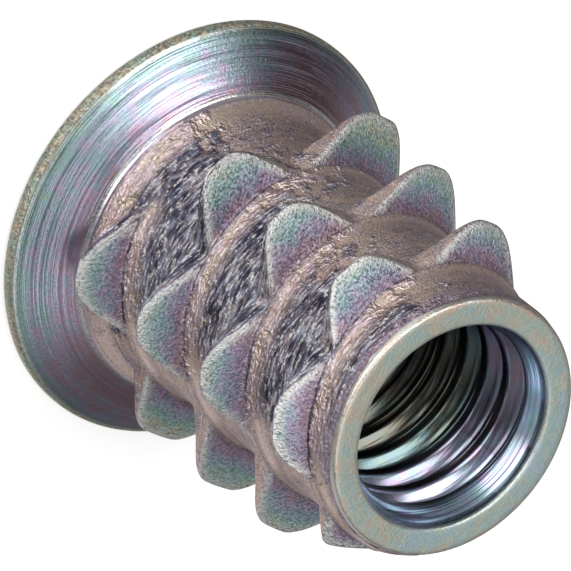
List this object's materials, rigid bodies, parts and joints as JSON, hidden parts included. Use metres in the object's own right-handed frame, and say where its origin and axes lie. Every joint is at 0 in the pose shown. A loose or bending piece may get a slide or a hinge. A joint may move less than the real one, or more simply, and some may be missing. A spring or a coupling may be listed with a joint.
{
  "type": "barbed insert nut",
  "caption": "Flanged barbed insert nut for wood: a metric internal thread inside a tubular body with a helix of notched barbs and a conical flange.",
  "frame": {"origin": "centre of the flange's flat outer face, on the bore axis", "axes": "+Z along the bore axis, from the flange towards the tip; the nut stands on its flange. +X and +Y are square to it, and -Y points close to one column of the notches between the barbs"},
  "size_m": [0.0118, 0.0118, 0.0125],
  "materials": {
    "zinc_steel": "zinc plated, iridescent passivate, satin"
  },
  "bodies": {
    "root": {"insert_nut": "zinc_steel"}
  },
  "joints": []
}
